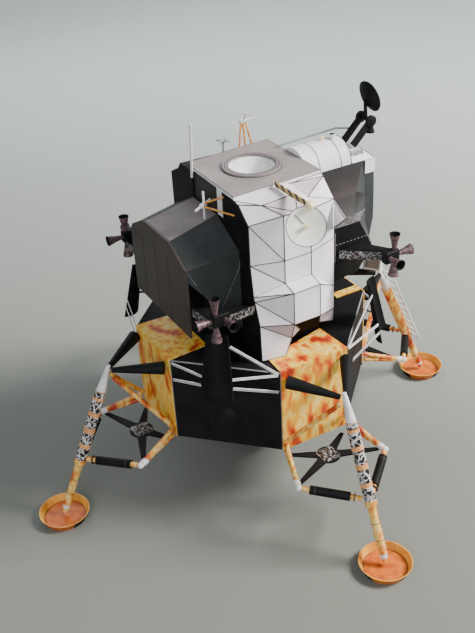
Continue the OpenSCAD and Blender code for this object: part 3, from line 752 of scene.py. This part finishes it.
def buildMidSection():
    paint("ascent_core", ("brownGreyCard", None))
    paint("top_deck", ("warmGreyCard", lambda p, n: n.z > 0.5), ("whiteCard", None))
    paint("docking_ring", ("warmGreyCard", None))
    paint("docking_cone", ("whiteCard", None))
    ringBox = (low("docking_ring"), high("docking_ring"))
    centre = (ringBox[0] + ringBox[1]) / 2
    r = (ringBox[1].x - ringBox[0].x) / 2
    lines = Piece("lineInk")
    for offset in deck["ringLines"]:
        rr = r + offset
        z = ringBox[1].z if rr < r else roofZ
        lines.lathe((centre.x, centre.y, z - 0.03), (centre.x, centre.y, z + 0.05),
                    [(0, rr - 0.16), (0.07, rr - 0.14), (0.07, rr + 0.14), (0, rr + 0.16)], sides=72)
    foldLines(lines, "top_deck", deck["foldWidth"], keep=lambda p, out: out.z > 0.3 and p.z > roofZ - 0.1
              and math.hypot(p.x - centre.x, p.y - centre.y) > r)
    lines.finish("top_deck_lines")
    strip = Piece("whiteCard")  # pale edge of the aft panel
    aft = low("ascent_core").y - 0.05
    top, bottom = (Vector((deck["panelX"], aft, roofZ - drop)) for drop in deck["panelDrop"])
    strip.plank(top, bottom, (0, -1, 0), deck["panelWidth"], 0.12)
    strip.finish("aft_panel_edge")


# routes: two printed lines with no fold; shadedFacets: x and y ranges of the facets that take the
# lilac-pink painted shade, and their drops below the roof
fairing = dict(foldWidth=0.34, lineWidth=0.3, edgeWidth=0.24, skirtTop=16,
               shadedFacets=[((26, 31.5), (-9, 4), (5, 1.5)), ((21, 25.5), (7.5, 99), (3.5, -9))],
               routes=[[(28.7, -16.1, 101.8), (33, -4.8, 102.2), (33, 6.2, 102.3), (26.4, 20.4, 100.8)],
                       [(28.7, -16.1, 117.0), (33, -4.8, 102.2)]])


# true for points in the listed ranges, which get the lilac-pink painted shade
def inPaintedShade(p):
    return any(x0 < p.x < x1 and y0 < p.y < y1 and roofZ - lowest < p.z < roofZ - highest
               for (x0, x1), (y0, y1), (lowest, highest) in fairing["shadedFacets"])


def buildFairings():
    # painted shade: near-black brown on the down-facing undercut, lilac-pink on the skirt's down-facing and
    # listed recessed facets
    paint("starboard_fairing",
          ("blackInkCard", lambda p, n: n.y < -0.92 and p.y < 0),
          ("undercutShadeCard", lambda p, n: n.z < -0.45 and p.y > -5),
          ("shadedLilacCard", lambda p, n: n.z < -0.04 and p.z < seatZ + fairing["skirtTop"]),
          ("shadedLilacCard", lambda p, n: inPaintedShade(p)),
          ("paleLilacCard", None))
    paint("port_fairing", ("blackInkCard", None))
    lines = Piece("lineInk")
    foldLines(lines, "starboard_fairing", fairing["foldWidth"], keep=lambda p, out: out.x > 0.2)
    skin = surfaceOf("starboard_fairing")
    for route in fairing["routes"]:
        drawnLine(lines, skin, route, fairing["lineWidth"])
    lines.finish("fairing_lines")
    edges = Piece("paleEdge")
    foldLines(edges, "port_fairing", fairing["edgeWidth"], keep=lambda p, out: out.x < -0.2)
    edges.finish("port_fairing_edges")


# rackSeams: shares of the rack's width; rackDrop: mm below its top; pale: thin light lines on the bay
bay = dict(foldWidth=0.4, rackSeams=(0.22, 0.45, 0.68), rackDrop=7, seamWidth=0.22, paleWidth=0.16,
           pale=[[(24, -15.5, 101), (22, -23, 85)], [(21, -36, 101), (22, -33, 95)],
                 [(22, -23, 85), (21, -31, 76)]])


def buildAftBay():
    paint("aft_bay", ("lilacGreyCard", lambda p, n: n.z > 0.9 or (n.z > 0.3 and abs(n.x) < 0.2)),
          ("charcoalCard", None))
    paint("aft_rack", ("mauveGreyCard", None))
    lines = Piece("lineInk", "paleEdge")
    foldLines(lines, "aft_bay", bay["foldWidth"], 0, keep=lambda p, out: out.z > 0.2)
    lo, hi = low("aft_rack"), high("aft_rack")
    back = surfaceOf("aft_rack")
    seamTop = hi.z - bay["rackDrop"]
    for share in bay["rackSeams"]:
        x = lo.x + (hi.x - lo.x) * share
        drawnLine(lines, back, [(x, lo.y, lo.z + 1), (x, lo.y, seamTop)], bay["seamWidth"])
    drawnLine(lines, back, [(lo.x + 1, lo.y, seamTop - 0.5), (hi.x - 1, lo.y, seamTop - 0.5)], 0.2)
    side = surfaceOf("aft_bay")
    for route in bay["pale"]:
        drawnLine(lines, side, route, bay["paleWidth"], 1)
    lines.finish("aft_bay_lines")


# mm; the nose's cheeks hang from noseDrop below the roof's foot, and its mesh strips start at meshY
cabin = dict(arcWidth=0.34, arcs=(6.2, 4.7, 0.15), foldWidth=0.26, noseX=8.85, noseDrop=2.7, cheekHeight=5.5,
             cheekLength=4.4, cheekThick=0.2, meshX=6.0, meshY=41.5, meshLift=2.5, meshWidth=1.7, meshEnd=3.4,
             lightAt=(0.4, 37.6), beadAt=(-0.6, 33.4), dashWidth=0.28, dashDrop=21, edgeWidth=0.24,
             edgeX=26.4, recessDrop=15.5, recessX=20.5, frontY=33, frontX=8)
lightShape = [(0, 0), (0, 1.15), (1.7, 1.15), (1.9, 1.0), (2.0, 0.8), (2.0, 0)]
beadShape = [(0, 0), (0, 0.7), (0.6, 0.9), (1.2, 0.8), (1.55, 0.4), (1.65, 0)]


def buildCabin():
    roofBase = low("cabin_roof").z
    paint("cabin_body",
          ("windowCard", lambda p, n: p.z > roofBase - cabin["recessDrop"] and abs(p.x) < cabin["recessX"]
           and n.z > 0.15 and abs(n.x) > 0.2),
          ("speckledStrip", lambda p, n: n.z > 0.75),
          ("charcoalCard", lambda p, n: p.y > cabin["frontY"] and abs(p.x) > cabin["frontX"]),
          ("blackInkCard", None))
    paint("cabin_roof", ("paleLilacCard", None))
    paint("cabin_nose", ("paleLilacCard", None))
    lines = Piece("lineInk")
    roof = surfaceOf("cabin_roof")
    r = (high("cabin_roof").x - low("cabin_roof").x) / 2
    front = high("cabin_roof").y
    fromAft, *fromFront = cabin["arcs"]
    for y in (low("cabin_roof").y + fromAft, *(front - d for d in fromFront)):
        turns = (math.pi * i / 24 for i in range(25))
        arc = [(r * math.cos(t), y, roofBase + r * math.sin(t)) for t in turns]
        drawnLine(lines, roof, arc, cabin["arcWidth"])
    foldLines(lines, "cabin_nose", cabin["foldWidth"], keep=lambda p, out: out.z > 0.1)
    lines.finish("cabin_lines")
    nose = Piece("paleLilacCard", "speckledStrip")  # the nose's lower cheeks and front, and its mesh strips
    front, midZ = high("cabin_body").y + 0.1, roofBase - cabin["noseDrop"]
    x, tall, thick = cabin["noseX"], cabin["cheekHeight"], cabin["cheekThick"]
    meshX, meshZ = cabin["meshX"], roofBase + cabin["meshLift"]
    for s in (-1, 1):
        nose.plank((s * x, front - cabin["cheekLength"], midZ), (s * x, front, midZ), (s, 0, 0), tall, thick)
        nose.plank((s * meshX, cabin["meshY"], meshZ), (s * meshX, front - cabin["meshEnd"], meshZ),
                   (s * 0.65, 0, 0.76), cabin["meshWidth"], 0.16, 1)
    nose.plank((-x - 0.05, front, midZ), (x + 0.05, front, midZ), (0, 1, 0), tall, thick)
    nose.finish("nose_cheeks")
    lights = Piece("whiteCard", "blackInkCard", "creamBead")  # a capped light and a bead on the cabin's ridge
    ridge = high("cabin_roof").z - 0.1
    light, bead = Vector((*cabin["lightAt"], ridge)), Vector((*cabin["beadAt"], ridge))
    above = Vector((0, 0, 2))
    lights.lathe(light, light + above, lightShape, inkAt=[0, 0, 0, 1, 1])
    lights.lathe(bead, bead + above, beadShape, 2)
    lights.finish("cabin_lights")
    dashes = Piece("paleEdge")
    body = surfaceOf("cabin_body")
    dashZ, edgeX = roofBase - cabin["dashDrop"], cabin["edgeX"]
    for s in (-1, 1):
        drawnLine(dashes, body, [(s * 27, 21.5, dashZ), (s * 26, 36, dashZ)], cabin["dashWidth"], dashes=2)
        drawnLine(dashes, body, [(edgeX * s, 21.2, roofBase - 16), (edgeX * s, 21.2, seatZ + 25)],
                  cabin["edgeWidth"])
    dashes.finish("cabin_dashes")


buildMidSection()
buildFairings()
buildAftBay()
buildCabin()
print("ascent stage: done")


nozzle = dict(throat=0.85, mouth=2.05, wall=0.22, flare=1.5, steps=10, bands=(0.35, 0.7), bandHalf=0.1,
              bandLift=0.07)


def nozzleR(share):  # outer radius at a share of the nozzle's length
    return nozzle["throat"] + (nozzle["mouth"] - nozzle["throat"]) * share ** nozzle["flare"]


def addNozzle(piece, base, way, length):  # flared bell with a dark hollow inside
    steps, base = nozzle["steps"], Vector(base)
    ahead = base + Vector(way)
    outer = [(length * i / steps, nozzleR(i / steps)) for i in range(steps + 1)]
    inner = [(length * i / steps, max(0.05, nozzleR(i / steps) - nozzle["wall"]))
             for i in range(steps, 0, -1)]
    kinds = [0] * len(outer) + [1] * (len(inner) + 1)
    piece.lathe(base, ahead, [(0, 0), *outer, *inner, (length * 0.1, 0)], inkAt=kinds, sides=36)
    for share in nozzle["bands"]:
        r, lift = nozzleR(share), nozzleR(share) + nozzle["bandLift"]
        a, b = share * length - nozzle["bandHalf"], share * length + nozzle["bandHalf"]
        piece.lathe(base, ahead, [(a, r), (a, lift), (b, lift), (b, r)], 2, 36)


# the black block in the middle of a cluster, in mm
block = dict(half=1.6, aft=4.8, tall=2.4, chamfer=0.45, nozzleZ=2.3, nozzleOut=1.5, sideNozzleY=3)


def buildThrusters(name, sx, sy):
    node = "thrusters_" + name
    lo, hi = low(node), high(node)
    half, c, up, outward = block["half"], block["chamfer"], block["nozzleZ"], block["nozzleOut"]
    centre = Vector((0, 0, (lo.z + hi.z) / 2))
    length = (hi.z - lo.z) / 2 - up
    centre.x = hi.x - outward - length if sx > 0 else lo.x + outward + length
    centre.y = lo.y + outward + length if sy < 0 else hi.y - outward - length
    piece = Piece("mauveInk", "blackInkCard", "lineInk")
    addNozzle(piece, centre + Vector((0, 0, up)), (0, 0, 1), length)
    addNozzle(piece, centre - Vector((0, 0, up)), (0, 0, -1), length)
    addNozzle(piece, centre + Vector((0, sy * outward, 0)), (0, sy, 0), length)
    addNozzle(piece, centre + Vector((sx * outward, -sy * block["sideNozzleY"], 0)), (sx, 0, 0), length)
    y0, y1 = sorted((centre.y + sy * half, centre.y - sy * block["aft"]))
    z0, z1 = centre.z - block["tall"], centre.z + block["tall"]
    outline = [(-half + c, y0), (half - c, y0), (half, y0 + c), (half, y1 - c),
               (half - c, y1), (-half + c, y1), (-half, y1 - c), (-half, y0 + c)]
    levels = [(z0, 0.8), (z0 + c, 1.0), (z1 - c, 1.0), (z1, 0.8)]
    midY = (y0 + y1) / 2
    points = [(centre.x + x * k, midY + (y - midY) * (0.5 + k / 2), z) for z, k in levels for x, y in outline]
    faces = [[8 * k + i, 8 * k + (i + 1) % 8, 8 * k + 8 + (i + 1) % 8, 8 * k + 8 + i] for k in range(3)
             for i in range(8)]
    faces += [list(range(8))[::-1], list(range(24, 32))]
    piece.add(points, faces, 1)
    piece.finish(node + "_bells", stands=[node])


for name, sx, sy in (("forward_starboard", 1, 1), ("aft_starboard", 1, -1), ("aft_port", -1, -1),
                     ("forward_port", -1, 1)):
    buildThrusters(name, sx, sy)

bracket = dict(step=1.0, crumple=0.35, rise=5)


def buildBrackets():  # black top and bottom, with a crumpled foil print folded round the sides
    points, faces = cadMesh("thruster_brackets")
    piece = Piece("silverCrumple", "blackInkCard")
    work = bmesh.new()
    made = [work.verts.new(p) for p in points]
    for face in faces:
        work.faces.new([made[i] for i in face])
    bmesh.ops.dissolve_limit(work, angle_limit=0.02, verts=work.verts, edges=work.edges)
    for face in work.faces:
        corners = [v.co.copy() for v in face.verts]
        if abs(face.normal.z) > 0.7:
            piece.add(corners, [list(range(len(corners)))], 1)
            continue
        corners.sort(key=lambda p: p.z)
        a, b = corners[0], corners[1]
        top, out = corners[-1].z, face.normal
        across = max(2, int((b - a).length / bracket["step"]))
        rise = bracket["rise"]
        grid = []
        for j in range(rise + 1):
            for i in range(across + 1):
                p = a.lerp(b, i / across)
                p.z = a.z + (top - a.z) * j / rise
                if 0 < j < rise and 0 < i < across:
                    p += out * dice.uniform(-bracket["crumple"], bracket["crumple"])
                grid.append(p)
        wide = across + 1
        piece.add(grid, [[j * wide + i, j * wide + i + 1, (j + 1) * wide + i + 1, (j + 1) * wide + i]
                         for j in range(rise) for i in range(across)], 0)
    work.free()
    piece.finish("thruster_bracket_foil", stands=["thruster_brackets"], sharp=10)


buildBrackets()
print("thrusters: done")


hubCap = [(0, 0.2), (0, 2.2), (0.25, 2.2), (0.5, 1.7), (0.5, 0.9), (0.9, 0.8), (0.9, 0)]
hubCapX = 3.45  # from the axle's middle to each cap


def jointAt(name):
    return Vector(next(j for j in frame["joints"] if j["name"] == name)["pos_m"]) / mm


def buildRadar():
    paint("radar_mount", ("blackInkCard", None))
    paint("radar_dish", ("blackInkCard", None))
    caps = Piece("blackInkCard")
    centre = jointAt("radar_tilt")
    for s in (-1, 1):
        base = centre + Vector((s * hubCapX, 0, 0))
        caps.lathe(base, base + Vector((s, 0, 0)), hubCap, sides=36)
    caps.finish("radar_hub_caps")


# mm; depth: from the rim to the middle of the bowl
dish = dict(beadR=1.75, clearR=1.9, depth=1.15, knob=[(0, 0), (0, 0.75), (1.3, 0.85), (1.6, 0.7), (1.7, 0)],
            slitLean=(0.66, 0.75), slitFrom=1.2, slitShort=1.3, slitWidth=0.24, slitThick=0.14)


def buildSteerable():
    ball = jointAt("steerable_antenna_turn")
    paint("antenna_boom", ("stripedCard", None))
    paint("steerable_dish", ("creamBead", lambda p, n: (p - ball).length < dish["beadR"]), ("dishCard", None))
    points = np.array([p for p in cadMesh("steerable_dish")[0] if (p - ball).length > dish["clearR"]])
    centre = Vector(points.mean(0))
    out = Vector(np.linalg.svd(points - points.mean(0))[2][2])
    out = out if out.x > 0 else -out
    r = max((Vector(p) - centre).length for p in points)
    side = out.cross(Vector((0, 0, 1))).normalized()
    up = side.cross(out)
    trim = Piece("lineInk", "creamBead")
    rim = max((Vector(p) - centre).dot(out) for p in points)
    base = centre + out * rim
    ring = [(-0.04, r - 0.22), (0.05, r - 0.22), (0.05, r + 0.03), (-0.04, r + 0.03)]
    trim.lathe(base, base + out, ring, sides=72)
    floor = centre + out * (rim - dish["depth"])
    knob = floor + out * 0.3
    trim.lathe(knob, knob + out, dish["knob"], 1, 32)
    slit = (up * dish["slitLean"][1] + side * dish["slitLean"][0]).normalized()
    inner = floor + out * 0.28 + slit * dish["slitFrom"]
    outer = base + slit * (r - dish["slitShort"]) - out * 0.15
    trim.plank(inner, outer, out, dish["slitWidth"], dish["slitThick"])
    trim.finish("steerable_dish_trim", body="steerable_antenna")


# armPath: each bend's distance out and height; the last four say where the tripods' legs are orange
small = dict(arms=4, armTurn=35, armR=(0.27, 0.25), armPath=((0.2, 0), (1.0, 0.75), (1.9, 0.85), (2.7, 0.3)),
             farCrossX=2.7, farCrossDrop=5.6, nearFeetX=8.4, nearCrossY=5)


def buildSmallAntennas():
    paint("rod_antenna", ("whiteCard", None))
    lo, hi = low("cross_antennas"), high("cross_antennas")
    paint("cross_antennas",
          ("orangeStrip", lambda p, n: lo.x + small["farCrossX"] < p.x < 0
           and p.z < hi.z - small["farCrossDrop"]),
          ("orangeStrip", lambda p, n: p.x > small["nearFeetX"] and p.y > lo.y + small["nearCrossY"]),
          ("whiteCard", None))
    paint("small_antenna", ("greyWire", None))
    arms = Piece("greyWire")  # four bowed arms on the small aerial
    head = (low("small_antenna") + high("small_antenna")) / 2
    head.z = high("small_antenna").z - 0.3
    for k in range(small["arms"]):
        t = math.radians(small["armTurn"] + 360 / small["arms"] * k)
        way = Vector((math.cos(t), math.sin(t), 0))
        stations = [head + way * d + Vector((0, 0, h)) for d, h in small["armPath"]]
        for a, b in zip(stations, stations[1:]):
            arms.tube(a, b, *small["armR"], sides=12, lip=0.05)
    arms.finish("small_antenna_arms")
    paint("wire_rail", ("greyWire", None))


buildRadar()
buildSteerable()
buildSmallAntennas()
print("antennas: done")
